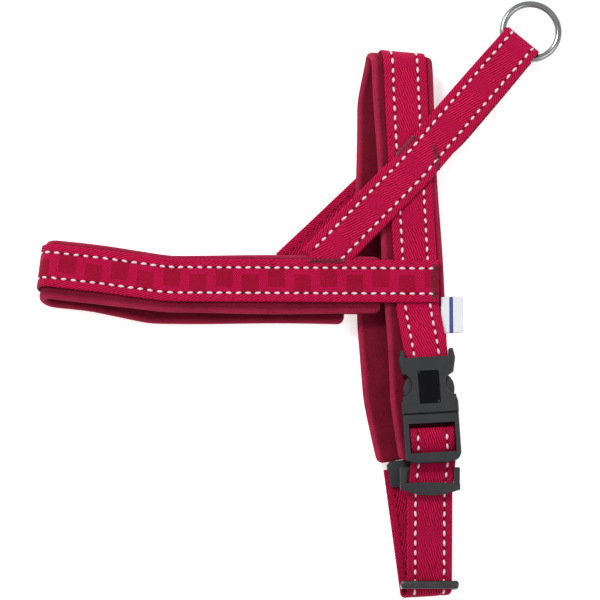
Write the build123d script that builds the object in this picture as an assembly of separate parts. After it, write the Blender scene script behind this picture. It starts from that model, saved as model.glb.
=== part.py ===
"""Padded dog harness, laid flat on its side: two padded webbing loops, a lead strap with an
O-ring, a side-release buckle and an adjustable belly strap.

Frame: +X is towards the dog's tail side of the laid-out harness, +Y towards its back, +Z up
from the surface that it lies on. The origin is at the middle of the footprint, on that surface.
"""
from build123d import *
from math import atan2, cos, degrees, hypot, radians, sin
from copy import copy
import os

# ---- driving dimensions, in millimetres and degrees ----------------------------------
WEB_W = 24.4          # webbing width
WEB_T = 1.8           # webbing thickness
PAD_W = 34.0          # width of the padded lining under the girth strap
CHEST_PAD_W = 32.0    # and under the chest strap
PAD_T = 4.0           # thickness of the lining, foam and both covers
COVER_T = 0.8         # cover fabric round the foam
FOAM_INSET = 3.0      # how far the foam stops inside the cover's edge
GIRTH_GAP = 5.0       # free height between the two girth pads

RING_OD = 35.4        # outside diameter of the O-ring
RING_WIRE = 4.0
POCKET_R = 5.5        # inside radius of the webbing fold that holds the ring

FLOOR_WEB = WEB_T                             # top of the lowest webbing layer
FAR_WEB_Z = FLOOR_WEB                         # underside of the far girth webbing
FAR_PAD_Z = FAR_WEB_Z + WEB_T
NEAR_PAD_Z = FAR_PAD_Z + PAD_T + GIRTH_GAP
NEAR_WEB_Z = NEAR_PAD_Z + PAD_T
TOP_WEB_Z = NEAR_WEB_Z + WEB_T                # underside of the chest and lead webbing
STACK_Z = TOP_WEB_Z + WEB_T
LOOP_Z = STACK_Z / 2                          # height of both folds' axes

# centrelines, from the fold to the free end
GIRTH_FOLD_Y = 133.2
GIRTH_NEAR = [(59.2, GIRTH_FOLD_Y), (59.9, 112.0), (62.5, 56.0), (65.3, -2.0), (66.4, -20.0),
              (68.0, -56.0), (73.2, -88.0)]
GIRTH_FAR = [(55.6, GIRTH_FOLD_Y), (50.8, 112.0), (50.0, 30.0), (50.2, -12.0), (54.1, -54.0),
             (61.0, -88.0)]
GIRTH_WEB_SHIFT = 1.4                         # the webbing sits a little right of the pad
GIRTH_END_Y = -88.0
CHEST_FOLD_X = -134.0
CHEST_NEAR = [(CHEST_FOLD_X, 15.6), (-110.0, 13.0), (-72.0, 7.9), (20.0, 7.9)]
CHEST_FAR = [(CHEST_FOLD_X, 12.4), (-113.0, 10.1), (-80.0, 3.9), (20.0, 3.9)]
CHEST_FOLD_LEAN = 12.0                        # the fold's axis leans this far from the Y axis
CHEST_WEB_SHIFT = 1.8                         # the webbing sits above the pad's middle
CHEST_WEB_END = 79.0
CHEST_FAR_WEB_END = 66.0
NEAR_PAD_END = 46.6                           # the chest pads stop at the girth pads' edges
FAR_PAD_END = 32.4
LEAD_TUCK = (4.0, 12.0)                        # both layers start under the chest webbing
LEAD_FAR_TUCK = (-12.0, 9.6)
LEAD_START = (16.5, 24.5)
LEAD_CROSS = (63.3, 72.2)
LEAD_TOP = (84.5, 97.4)                       # where the two layers lie in line again
LEAD_FAR = [(-2.0, 19.6), (45.0, 65.0), LEAD_TOP]
RING_AXIS = (124.2, 144.4)                    # middle of the fold that the ring turns in
RING_REACH = 12.6                             # ring's middle from that axis
RING_WEB_W = 23.0                             # the webbing narrows where it passes the ring

BUCKLE_TOP = (71.0, -29.6)                    # middle of the female half's upper end
BUCKLE_TILT = 3.5                             # the buckle leans this far from straight down
BUCKLE_W = 31.0
BUCKLE_H = 9.0
FEMALE_L = 35.0
MALE_L = 27.0
MATE_GAP = 0.4
BUCKLE_Z = NEAR_WEB_Z + 0.3                   # underside of the buckle, just above the pad
BUCKLE_MID = BUCKLE_Z + BUCKLE_H / 2
MALE_U = FEMALE_L + MATE_GAP                  # male half's mating face from the upper end
WALL = 2.8                                    # female half's side walls
CAVITY_H = 5.6
CAVITY_L = 23.0
SLIT_END = 8.4                                # the slit for the girth webbing ends here
BAR_COVER = 3.8                               # ears stand this far above the female's edge
EDGE = 0.6                                    # chamfer round the buckle's faces
WIN_R = 6.5                                   # side windows are arcs of this radius
WIN_U = 18.8
WIN_V = 15.7
CATCH_U = 24.4                                # prongs catch on the windows' lower ends here
PRONG_REACH = 21.6                            # prongs stand this far out of the male half
PRONG_H = 4.8
PRONG_V = 8.4                                 # prong roots from the buckle's middle
PRONG_ROOT_R = 1.7
ROOT_U = 2.3
TONGUE = (6.6, 17.0)
BAR_U = 10.0                                  # male half's webbing bar from its mating face
BAR_R = 1.6
MALE_WINDOW = (5.2, 21.6)                     # opening over the bar, from the mating face
MALE_SLOT_H = 3.5                             # room for the strap under the lower bar
LABEL_W = 11.8
LABEL_L = 18.4
LABEL_T = 0.5
LABEL_U = 20.6

RISE_Y = -8.0                                 # the girth webbing rises from here to the buckle
BELLY_X = 72.9
BELLY_FLAT_Y = -95.0                          # the near layer slopes down from here
BELLY_FOLD_Y = -160.6
BELLY_FOLD_R = 3.6                            # to the outside of the webbing
BELLY_NEAR_Z = BUCKLE_Z + 0.9                 # underside of the near layer below the buckle
BELLY_FAR_Z = 2.3
BELLY_FAR_X = 69.4
BELLY_FAR_END = (60.2, -90.0)
PLY_END_U = 21.0                              # the upper ply comes down to the strap here
TAIL_END_U = 16.0                             # and the tail under it stops here
RUN_GAP = 0.35                                # clearance round webbing that slides
KEEPER_TOP_Y = -92.0
KEEPER_L = 16.5
KEEPER_W = 32.8
SLIDER_W = 32.2
SLIDER_BAR = 2.9
HOOK_L = 14.5
HOOK_W = 25.5
HOOK_PLACE = (60.1, -88.3)
HOOK_SIDE = 15.3
HOOK_H = 6.1                                  # from its lower plate to its upper plate's underside
TAG_X = 79.8
TAG_TIP_X = 92.2
TAG_Y = (-19.2, 1.1)
TAG_T = 0.8
TACK_T = 0.4
TACKS = [                                     # x, y, width, length, heading
    (76.2, 9.7, 2.4, 20.0, 88), (16.2, 20.6, 2.4, 20.0, 0),
    (60.5, 86.0, 2.4, 15.0, 47), (77.5, 79.5, 1.6, 15.0, 100),
]


# ---- helpers --------------------------------------------------------------------------
def band(points, width, shift=(0.0, 0.0)):
    """Flat face that follows a centreline at a constant width."""
    left = []
    right = []
    for i, (x, y) in enumerate(points):
        before = points[max(i - 1, 0)]
        after = points[min(i + 1, len(points) - 1)]
        dx = after[0] - before[0]
        dy = after[1] - before[1]
        length = hypot(dx, dy)
        nx = -dy / length * width / 2
        ny = dx / length * width / 2
        left.append((x + shift[0] + nx, y + shift[1] + ny))
        right.append((x + shift[0] - nx, y + shift[1] - ny))
    return make_face(Polyline(*left, *reversed(right), close=True))


def layer(face, z, thickness):
    return Pos(0, 0, z) * extrude(face, thickness)


def fold(start, end, width, r_out, r_in, axis_z, heading):
    """Half ring that turns a strap round from one layer to the other, at its loop's end."""
    centre = ((start[0] + end[0]) / 2, (start[1] + end[1]) / 2)
    ring = Cylinder(r_out, width) - Cylinder(r_in, width + 2)
    ring = Rot(90, 0, 0) * ring
    ring -= Pos(-r_out, 0, 0) * Box(2 * r_out, width + 2, 3 * r_out)
    return Pos(centre[0], centre[1], axis_z) * Rot(0, 0, heading) * ring


def run(start, end, width, thickness, z_start, z_end):
    """Straight piece of webbing between two points, its underside at the heights given."""
    length = hypot(end[0] - start[0], end[1] - start[1])
    heading = degrees(atan2(end[1] - start[1], end[0] - start[0]))
    side = make_face(Polyline((0, z_start), (length, z_end), (length, z_end + thickness),
                              (0, z_start + thickness), close=True))
    piece = Pos(0, width / 2, 0) * (Rot(90, 0, 0) * extrude(side, width))
    return Pos(start[0], start[1], 0) * Rot(0, 0, heading) * piece


def in_buckle(u, v, z):
    """Place in the buckle's own frame: u down its length, v across it to the right."""
    return Pos(BUCKLE_TOP[0], BUCKLE_TOP[1], 0) * Rot(0, 0, BUCKLE_TILT) * Pos(v, -u, z)


# ---- padded loops ---------------------------------------------------------------------
def cut_at_y(shape, y, keep_above):
    side = 1 if keep_above else -1
    return shape - Pos(0, y - side * 200, 0) * Box(600, 400, 200)


def girth_loop(width, near_z, far_z, thickness, shift, near_end, far_end):
    r_out = near_z + thickness - LOOP_Z
    r_in = near_z - LOOP_Z
    near = layer(band(GIRTH_NEAR, width, (shift, 0)), near_z, thickness)
    far = layer(band(GIRTH_FAR, width, (shift, 0)), far_z, thickness)
    near = cut_at_y(cut_at_y(near, near_end, True), GIRTH_FOLD_Y, False)
    far = cut_at_y(cut_at_y(far, far_end, True), GIRTH_FOLD_Y, False)
    turn = fold((GIRTH_NEAR[0][0] + shift, GIRTH_FOLD_Y), (GIRTH_FAR[0][0] + shift, GIRTH_FOLD_Y),
                width, r_out, r_in, LOOP_Z, 90)
    return near + far + turn


def beyond_fold(line):
    """The line carried 8 mm past its first point, so that a leaning cut can trim it."""
    (x0, y0), (x1, y1) = line[:2]
    return [(x0 - 8, y0 - 8 * (y1 - y0) / (x1 - x0))] + line[1:]


def chest_loop(width, near_z, far_z, thickness, shift, near_end, far_end):
    r_out = near_z + thickness - LOOP_Z
    r_in = near_z - LOOP_Z
    near_line = beyond_fold(CHEST_NEAR) + [(near_end, CHEST_NEAR[-1][1])]
    far_line = beyond_fold(CHEST_FAR) + [(far_end, CHEST_FAR[-1][1])]
    near = layer(band(near_line, width, (0, shift)), near_z, thickness)
    far = layer(band(far_line, width, (0, shift)), far_z, thickness)
    middle = (CHEST_NEAR[0][1] + CHEST_FAR[0][1]) / 2 + shift
    beyond = Pos(-100, 0, 0) * Box(200, 200, 200)
    beyond = Pos(CHEST_FOLD_X, middle, 0) * Rot(0, 0, -CHEST_FOLD_LEAN) * beyond
    turn = fold((CHEST_FOLD_X, middle), (CHEST_FOLD_X, middle), width, r_out, r_in, LOOP_Z,
                180 - CHEST_FOLD_LEAN)
    return (near - beyond) + (far - beyond) + turn


def make_girth_pad():
    foam_end = GIRTH_END_Y + FOAM_INSET
    whole = girth_loop(PAD_W, NEAR_PAD_Z, FAR_PAD_Z, PAD_T, 0, GIRTH_END_Y, GIRTH_END_Y)
    foam = girth_loop(PAD_W - 2 * FOAM_INSET, NEAR_PAD_Z + COVER_T, FAR_PAD_Z + COVER_T,
                      PAD_T - 2 * COVER_T, 0, foam_end, foam_end)
    return whole - foam, foam


def make_girth_webbing():
    webbing = girth_loop(WEB_W, NEAR_WEB_Z, FAR_WEB_Z, WEB_T, GIRTH_WEB_SHIFT, RISE_Y,
                         GIRTH_END_Y)
    pocket_z = BUCKLE_Z + (BUCKLE_H - WEB_T) / 2
    start = (GIRTH_NEAR[3][0] + GIRTH_WEB_SHIFT + 0.4, RISE_Y + 1.0)
    webbing += run(start, BUCKLE_TOP, WEB_W, WEB_T, NEAR_WEB_Z, pocket_z)
    end = Box(WEB_W, SLIT_END - 0.3, WEB_T, align=(Align.CENTER, Align.MAX, Align.MIN))
    return webbing + in_buckle(-0.5, 0, pocket_z) * end


def make_chest_pad():
    near_z = TOP_WEB_Z - PAD_T
    whole = chest_loop(CHEST_PAD_W, near_z, FLOOR_WEB, PAD_T, 0, NEAR_PAD_END, FAR_PAD_END)
    foam = chest_loop(CHEST_PAD_W - 2 * FOAM_INSET, near_z + COVER_T, FLOOR_WEB + COVER_T,
                      PAD_T - 2 * COVER_T, 0, NEAR_PAD_END - FOAM_INSET, FAR_PAD_END - FOAM_INSET)
    return whole - foam, foam


def make_chest_webbing():
    return chest_loop(WEB_W, TOP_WEB_Z, 0, WEB_T, CHEST_WEB_SHIFT, CHEST_WEB_END,
                      CHEST_FAR_WEB_END)


# ---- lead strap and ring --------------------------------------------------------------
LEAD_HEADING = degrees(atan2(RING_AXIS[1] - LEAD_TOP[1], RING_AXIS[0] - LEAD_TOP[0]))
POCKET_OUT = POCKET_R + WEB_T
RING_Z = POCKET_OUT


def make_lead_strap():
    near = layer(band([LEAD_TUCK, LEAD_START, LEAD_CROSS, LEAD_TOP], WEB_W), TOP_WEB_Z, WEB_T)
    near += run(LEAD_TOP, RING_AXIS, RING_WEB_W, WEB_T, TOP_WEB_Z, 2 * POCKET_R + WEB_T)
    far = layer(band([LEAD_FAR_TUCK] + LEAD_FAR, WEB_W), 0, WEB_T)
    far += run(LEAD_TOP, RING_AXIS, RING_WEB_W, WEB_T, 0, 0)
    turn = fold(RING_AXIS, RING_AXIS, RING_WEB_W, POCKET_OUT, POCKET_R, POCKET_OUT, LEAD_HEADING)
    strap = near + far + turn
    below_chest = CHEST_NEAR[-1][1] + CHEST_WEB_SHIFT + WEB_W / 2
    strap -= Pos(0, below_chest - 100, STACK_Z) * Box(400, 200, STACK_Z)
    below_far = CHEST_FAR[-1][1] + CHEST_WEB_SHIFT + WEB_W / 2
    strap -= Pos(0, below_far - 100, 0) * Box(400, 200, STACK_Z)
    return strap


def make_ring():
    x = RING_AXIS[0] + RING_REACH * cos(radians(LEAD_HEADING))
    y = RING_AXIS[1] + RING_REACH * sin(radians(LEAD_HEADING))
    return Pos(x, y, RING_Z) * Torus((RING_OD - RING_WIRE) / 2, RING_WIRE / 2)


# ---- side-release buckle --------------------------------------------------------------
def make_buckle_female():
    half = BUCKLE_W / 2
    outline = make_face(Polyline(
        (1.0 - half, 0.4), (3.0 - half, 0.4), (3.2 - half, -BAR_COVER), (half - 3.2, -BAR_COVER),
        (half - 3.0, 0.4), (half - 1.0, 0.4), (half, -5.0), (half - 1.4, -12.0),
        (half - 0.8, -26.4), (half, -29.0), (half, -FEMALE_L), (-half, -FEMALE_L),
        (-half, -29.0), (0.8 - half, -26.4), (1.4 - half, -12.0), (-half, -5.0), close=True))
    shell = extrude(outline, BUCKLE_H)
    for side in (-1, 1):
        window = Cylinder(WIN_R, 3 * BUCKLE_H)
        shell -= Pos(side * WIN_V, -WIN_U, 0) * window
    shell = chamfer(shell.faces().sort_by(Axis.Z)[-1].edges(), EDGE)
    shell = chamfer(shell.faces().sort_by(Axis.Z)[0].edges(), EDGE)
    mid = BUCKLE_H / 2
    cavity = Box(BUCKLE_W - 2 * WALL, CAVITY_L, CAVITY_H,
                 align=(Align.CENTER, Align.MIN, Align.CENTER))
    shell -= Pos(0, -FEMALE_L, mid) * cavity
    slit = Box(WEB_W + 0.6, SLIT_END, WEB_T + 0.4, align=(Align.CENTER, Align.MAX, Align.CENTER))
    shell -= Pos(0, 0, mid) * slit
    recess = Box(LABEL_W, LABEL_L, 2 * LABEL_T)
    shell -= Pos(0, -LABEL_U, BUCKLE_H) * recess
    return in_buckle(0, 0, BUCKLE_Z) * shell


def make_buckle_label():
    plate = Box(LABEL_W, LABEL_L, LABEL_T, align=(Align.CENTER, Align.CENTER, Align.MAX))
    return in_buckle(LABEL_U, 0, BUCKLE_Z + BUCKLE_H) * plate


def make_buckle_male():
    half = BUCKLE_W / 2 - 0.2
    outline = make_face(Polyline(
        (-half, 0), (half, 0), (half, -MALE_L + 4.5), (half - 1.0, -MALE_L + 2.2),
        (half - 3.2, -MALE_L + 0.7), (half - 8.0, -MALE_L), (8.0 - half, -MALE_L),
        (3.2 - half, -MALE_L + 0.7), (1.0 - half, -MALE_L + 2.2), (-half, -MALE_L + 4.5),
        close=True))
    frame = extrude(outline, BUCKLE_H)
    frame = chamfer(frame.faces().sort_by(Axis.Z)[-1].edges(), EDGE)
    frame = chamfer(frame.faces().sort_by(Axis.Z)[0].edges(), EDGE)
    top, bottom = MALE_WINDOW
    frame -= Pos(0, -(top + bottom) / 2, BUCKLE_H / 2) * Box(WEB_W + 1.0, bottom - top, 3 * BUCKLE_H)
    under = Box(WEB_W + 1.0, 12.0, MALE_SLOT_H + 0.1, align=(Align.CENTER, Align.CENTER, Align.MIN))
    frame -= Pos(0, 2.0 - MALE_L, -0.1) * under
    bar = Rot(0, 90, 0) * Cylinder(BAR_R, WEB_W + 2.0)
    frame += Pos(0, -BAR_U, BUCKLE_H / 2) * bar
    tongue = Box(TONGUE[0], TONGUE[1], PRONG_H, align=(Align.CENTER, Align.MIN, Align.CENTER))
    frame += Pos(0, -1.0, BUCKLE_H / 2) * tongue
    for side in (-1, 1):
        socket = Cylinder(PRONG_ROOT_R + 0.1, PRONG_H + 0.2)
        socket += Pos(0, 2.0, 0) * Box(4.2, 4.0, PRONG_H + 0.2)
        frame -= Pos(side * PRONG_V, -ROOT_U, BUCKLE_H / 2) * socket
    return in_buckle(MALE_U, 0, BUCKLE_Z) * frame


def make_prong(side):
    """Springy arm that catches in the female half's side window; side is -1 or 1."""
    catch = MALE_U - CATCH_U
    face = make_face(Polyline(
        (9.6, 0.0), (10.9, catch - 0.2), (13.8, catch), (14.1, catch + 2.8), (13.7, catch + 6.0),
        (12.2, catch + 8.8), (10.2, PRONG_REACH), (9.0, PRONG_REACH - 1.2), (8.7, catch),
        (7.2, 0.0), close=True))
    arm = extrude(face, PRONG_H / 2, both=True)
    arm += Pos(PRONG_V, -ROOT_U / 2, 0) * Box(2.4, ROOT_U + 0.2, PRONG_H)
    arm += Pos(PRONG_V, -ROOT_U, 0) * Cylinder(PRONG_ROOT_R, PRONG_H)
    if side < 0:
        arm = mirror(arm, Plane.YZ)
    return in_buckle(MALE_U, 0, BUCKLE_MID) * arm


# ---- belly strap and what is on it ----------------------------------------------------
def below_mating(u):
    """Place on the buckle's middle line, u below the male half's mating face."""
    reach = MALE_U + u
    return (BUCKLE_TOP[0] + reach * sin(radians(BUCKLE_TILT)),
            BUCKLE_TOP[1] - reach * cos(radians(BUCKLE_TILT)))


def make_belly_strap():
    """Rolled over the male half's bar, its tail inside, then down, round and back below."""
    roll = Rot(0, 90, 0) * (Cylinder(BAR_R + WEB_T, WEB_W) - Cylinder(BAR_R, WEB_W + 2))
    strap = in_buckle(MALE_U + BAR_U, 0, BUCKLE_MID) * roll
    bar = below_mating(BAR_U)
    strap += run(bar, below_mating(PLY_END_U), WEB_W, WEB_T, BUCKLE_MID + BAR_R, BELLY_NEAR_Z)
    tail_z = BUCKLE_MID - BAR_R - WEB_T
    strap += run(bar, below_mating(TAIL_END_U), WEB_W, WEB_T, tail_z, tail_z)
    clear = below_mating(MALE_L + 0.6)
    strap += run(below_mating(PLY_END_U - 0.8), clear, WEB_W, WEB_T, BELLY_NEAR_Z, BELLY_NEAR_Z)
    strap += run(clear, (BELLY_X, BELLY_FLAT_Y), WEB_W, WEB_T, BELLY_NEAR_Z, BELLY_NEAR_Z)
    strap += run((BELLY_X, BELLY_FLAT_Y + 0.5), (BELLY_X, BELLY_FOLD_Y), WEB_W, WEB_T,
                 BELLY_NEAR_Z, BELLY_FAR_Z + 2 * BELLY_FOLD_R - WEB_T)
    strap += run((BELLY_FAR_X, BELLY_FOLD_Y), BELLY_FAR_END, WEB_W, WEB_T, BELLY_FAR_Z, BELLY_FAR_Z)
    strap += fold((BELLY_X, BELLY_FOLD_Y), (BELLY_FAR_X, BELLY_FOLD_Y), WEB_W, BELLY_FOLD_R,
                  BELLY_FOLD_R - WEB_T, BELLY_FAR_Z + BELLY_FOLD_R, -90)
    return strap


def belly_slope():
    drop = BELLY_NEAR_Z - (BELLY_FAR_Z + 2 * BELLY_FOLD_R - WEB_T)
    return degrees(atan2(drop, BELLY_FLAT_Y - BELLY_FOLD_Y))


def on_slope(y, z):
    """Place on the sloping near layer: z is above its top face, at the given y."""
    top = BELLY_NEAR_Z + WEB_T + (y - BELLY_FLAT_Y) * sin(radians(belly_slope()))
    return Pos(BELLY_X, y, top) * Rot(belly_slope(), 0, 0) * Pos(0, 0, z)


def make_keeper_loop():
    inner = WEB_W / 2 + 0.9
    outer = KEEPER_W / 2
    top = ThreePointArc((-outer, 5.6), (0, 6.4), (outer, 5.6))
    bottom = ThreePointArc((outer, 2.6), (0, -0.8), (-outer, 2.6))
    ends = [Line((outer, 5.6), (outer, 2.6)), Line((-outer, 2.6), (-outer, 5.6))]
    front = make_face(Curve() + [top, bottom, *ends])
    loop = Pos(0, 0, RUN_GAP) * extrude(front, 2.8)
    drop = WEB_T + 2 * RUN_GAP + 2.6
    for side in (-1, 1):
        post = Box(outer - inner, KEEPER_L - 4.0, drop, align=(Align.CENTER, Align.MIN, Align.MAX))
        loop += Pos(side * (outer + inner) / 2, 2.0, RUN_GAP + 0.4) * post
    rear = Box(2 * outer, 3.2, 2.4, align=(Align.CENTER, Align.MAX, Align.MAX))
    loop += Pos(0, KEEPER_L - 2.0, -WEB_T - RUN_GAP - 0.75) * rear
    return on_slope(KEEPER_TOP_Y - KEEPER_L, 0) * loop


def make_strap_slider():
    front_z = BELLY_FAR_Z + 2 * BELLY_FOLD_R + RUN_GAP + SLIDER_BAR / 2 + 0.6
    rear_z = BELLY_FAR_Z + BELLY_FOLD_R
    front_y = BELLY_FOLD_Y + 2.4
    rear_y = BELLY_FOLD_Y + 1.6
    rod = Rot(0, 90, 0) * Cylinder(SLIDER_BAR / 2, SLIDER_W - SLIDER_BAR)
    slider = Pos(0, front_y, front_z) * rod
    slider += Pos(0, rear_y, rear_z) * rod
    lean = degrees(atan2(front_y - rear_y, front_z - rear_z))
    height = hypot(front_y - rear_y, front_z - rear_z)
    for side in (-1, 1):
        post = Cylinder(SLIDER_BAR / 2, height)
        x = side * (SLIDER_W - SLIDER_BAR) / 2
        slider += Pos(x, (front_y + rear_y) / 2, (front_z + rear_z) / 2) * Rot(-lean, 0, 0) * post
        slider += Pos(x, front_y, front_z) * Sphere(SLIDER_BAR / 2)
        slider += Pos(x, rear_y, rear_z) * Sphere(SLIDER_BAR / 2)
    return Pos(BELLY_X, 0, 0) * slider


def make_far_hook():
    """Side-entry hook at the far strap's end; the belly strap lies between its two plates."""
    heading = degrees(atan2(BELLY_FAR_X - BELLY_FAR_END[0], BELLY_FAR_END[1] - BELLY_FOLD_Y))
    upper = Box(HOOK_W, HOOK_L, 2.0, align=(Align.MAX, Align.MAX, Align.MIN))
    upper = fillet(upper.edges().filter_by(Axis.Z), 2.5)
    post = Box(2.0, HOOK_L - 4.0, HOOK_H, align=(Align.MAX, Align.MAX, Align.MIN))
    lower = Box(HOOK_W, 4.5, 1.7, align=(Align.MAX, Align.MAX, Align.MIN))
    wall = Box(HOOK_W - 5.5, 1.6, HOOK_H, align=(Align.MAX, Align.MAX, Align.MIN))
    hook = Pos(0, 0, BELLY_FAR_Z + WEB_T + RUN_GAP) * upper
    hook += Pos(0, -1.0, 0.2) * post + Pos(0, -1.0, 0.2) * lower + Pos(0, 0, 0.2) * wall
    return Pos(*HOOK_PLACE, 0) * Rot(0, 0, heading) * Pos(HOOK_SIDE, 0, 0) * hook


def make_side_tag():
    size = (TAG_TIP_X - TAG_X, TAG_Y[1] - TAG_Y[0], TAG_T)
    return Pos(TAG_X, TAG_Y[0], NEAR_WEB_Z) * Box(*size, align=(Align.MIN, Align.MIN, Align.MIN))


def make_bar_tacks():
    """Dense zigzag seams that hold the crossings; each stands on the webbing under it."""
    tacks = [
        Pos(x, y, STACK_Z + TACK_T / 2) * Rot(0, 0, heading) * Box(length, width, TACK_T)
        for x, y, width, length, heading in TACKS
    ]
    return Compound(children=tacks)


girth_pad, girth_foam = make_girth_pad()
chest_pad, chest_foam = make_chest_pad()
nodes = {
    "girth_pad": girth_pad,
    "girth_foam": girth_foam,
    "girth_webbing": make_girth_webbing(),
    "chest_pad": chest_pad,
    "chest_foam": chest_foam,
    "chest_webbing": make_chest_webbing(),
    "lead_strap": make_lead_strap(),
    "o_ring": make_ring(),
    "buckle_female": make_buckle_female(),
    "buckle_label": make_buckle_label(),
    "buckle_male": make_buckle_male(),
    "prong_left": make_prong(-1),
    "prong_right": make_prong(1),
    "belly_strap": make_belly_strap(),
    "keeper_loop": make_keeper_loop(),
    "strap_slider": make_strap_slider(),
    "far_hook": make_far_hook(),
    "side_tag": make_side_tag(),
    "bar_tacks": make_bar_tacks(),
}

footprint = Compound(children=[copy(shape) for shape in nodes.values()]).bounding_box()
ORIGIN = (footprint.center().X, footprint.center().Y, footprint.min.Z)

os.makedirs("parts", exist_ok=True)
for name, shape in nodes.items():
    shape = Pos(-ORIGIN[0], -ORIGIN[1], -ORIGIN[2]) * shape
    export_step(shape, f"parts/{name}.step")
    print(name, len(shape.solids()), round(shape.volume, 1), shape.is_valid)
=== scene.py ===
"""Looks for a padded dog harness that lies flat on its side.

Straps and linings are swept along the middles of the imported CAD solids. Every swept piece keeps
a point attribute "weave": distance along the strap and distance across it, in millimetres, so its
weave needs no image and no unwrapping. Lengths are in metres unless a name or a comment says mm.
"""
import math
import random

import bmesh
import bpy
import numpy as np
from mathutils import Matrix, Vector


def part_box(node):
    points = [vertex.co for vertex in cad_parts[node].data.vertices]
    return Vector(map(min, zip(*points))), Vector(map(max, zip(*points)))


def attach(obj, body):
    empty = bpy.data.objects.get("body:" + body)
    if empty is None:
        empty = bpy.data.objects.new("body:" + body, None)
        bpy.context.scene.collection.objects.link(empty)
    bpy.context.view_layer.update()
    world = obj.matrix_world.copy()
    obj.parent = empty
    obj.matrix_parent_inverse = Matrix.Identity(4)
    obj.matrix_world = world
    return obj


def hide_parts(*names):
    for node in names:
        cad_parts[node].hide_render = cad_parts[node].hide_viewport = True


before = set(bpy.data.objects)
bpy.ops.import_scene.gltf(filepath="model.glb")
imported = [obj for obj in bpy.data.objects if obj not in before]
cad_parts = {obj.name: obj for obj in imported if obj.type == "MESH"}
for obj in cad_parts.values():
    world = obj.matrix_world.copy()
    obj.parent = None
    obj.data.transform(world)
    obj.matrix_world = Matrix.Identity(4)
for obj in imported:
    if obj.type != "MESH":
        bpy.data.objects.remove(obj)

random.seed(7)
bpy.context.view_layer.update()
MM = 0.001

# ---- driving dimensions of the soft goods, in metres ---------------------------------
WEB_T = 1.8 * MM                # webbing
WEB_W = 24.0 * MM
BELLY_W = 24.9 * MM             # the belly strap looks a little wider in the photo
PAD_T = 4.3 * MM                # linings
GIRTH_PAD_W = 33.4 * MM
CHEST_PAD_W = 32.4 * MM
STEP = 1.2 * MM                 # between the points of a path
STITCH_PITCH = 5.35 * MM        # from one stitch to the next
STITCH_L = 3.7 * MM
STITCH_R = 0.72 * MM
GIRTH_ROW = 6.9 * MM            # stitch rows from the strap's middle
CHEST_ROW = 7.1 * MM
LEAD_ROW = 7.4 * MM
BELLY_ROW = 8.0 * MM
RIPPLE = 0.12 * MM              # how far the webbing's faces waver


# ---- reading the frame ----------------------------------------------------------------
class Solid:
    """Edges of a CAD node's mesh, for slicing it where a strap's middle is wanted."""

    def __init__(self, node):
        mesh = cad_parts[node].data
        points = np.array([v.co for v in mesh.vertices], float)
        pairs = np.array([e.vertices for e in mesh.edges], int)
        self.a = points[pairs[:, 0]]
        self.b = points[pairs[:, 1]]

    def slice(self, origin, direction, z_low, z_high):
        """Middle of the part between two heights, on the vertical plane there, or None."""
        normal = np.array([direction[0], direction[1], 0.0])
        side = np.array([-direction[1], direction[0], 0.0])
        start = np.array([origin[0], origin[1], 0.0])
        da = (self.a - start) @ normal
        db = (self.b - start) @ normal
        hit = (da * db < 0) | (np.abs(da) < 1e-9)
        da, db, a, b = da[hit], db[hit], self.a[hit], self.b[hit]
        t = np.where(np.abs(da - db) > 1e-12, da / np.where(da == db, 1, da - db), 0.0)
        cut = a + (b - a) * t[:, None]
        cut = cut[(cut[:, 2] > z_low) & (cut[:, 2] < z_high)]
        if len(cut) == 0:
            return None
        across = (cut - start) @ side
        low, high = across.min(), across.max()
        middle = start + side * (low + high) / 2
        return np.array([middle[0], middle[1], (cut[:, 2].min() + cut[:, 2].max()) / 2])


def middles(node, starts, direction, z_low, z_high):
    """Middles of a node on planes through the given starts, without the empty ones."""
    solid = Solid(node)
    found = [solid.slice(s, direction, z_low, z_high) for s in starts]
    return [middle for middle in found if middle is not None]


# ---- paths ----------------------------------------------------------------------------
class Path:
    """A strap's middle line with its width direction, read at any distance along it."""

    def __init__(self, points, sides, smooth=5, step=STEP):
        points = np.array(points, float)
        sides = np.array(sides, float)
        length = np.concatenate([[0], np.cumsum(np.linalg.norm(np.diff(points, axis=0), axis=1))])
        count = max(int(length[-1] / step), 4)
        s = np.linspace(0, length[-1], count)
        points = np.stack([np.interp(s, length, points[:, k]) for k in range(3)], 1)
        sides = np.stack([np.interp(s, length, sides[:, k]) for k in range(3)], 1)
        for _ in range(smooth):
            points[1:-1] = (points[:-2] + 2 * points[1:-1] + points[2:]) / 4
            sides[1:-1] = (sides[:-2] + 2 * sides[1:-1] + sides[2:]) / 4
        self.points = points
        self.s = np.concatenate([[0], np.cumsum(np.linalg.norm(np.diff(points, axis=0), axis=1))])
        tangent = np.gradient(points, axis=0)
        tangent /= np.linalg.norm(tangent, axis=1)[:, None]
        self.side = sides / np.linalg.norm(sides, axis=1)[:, None]
        normal = np.cross(self.side, tangent)
        self.normal = normal / np.linalg.norm(normal, axis=1)[:, None]
        self.length = self.s[-1]

    def at(self, s):
        """Place, width direction and outward direction at a distance along the path."""
        return [np.array([np.interp(s, self.s, values[:, k]) for k in range(3)])
                for values in (self.points, self.side, self.normal)]


def plan_sides(points, sign):
    """Horizontal width directions for a layer: at right angles to its run, on one hand."""
    points = np.array(points, float)
    run = np.gradient(points, axis=0)
    run[:, 2] = 0
    run /= np.linalg.norm(run, axis=1)[:, None]
    return np.stack([run[:, 1] * sign, -run[:, 0] * sign, run[:, 2]], 1)


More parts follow.
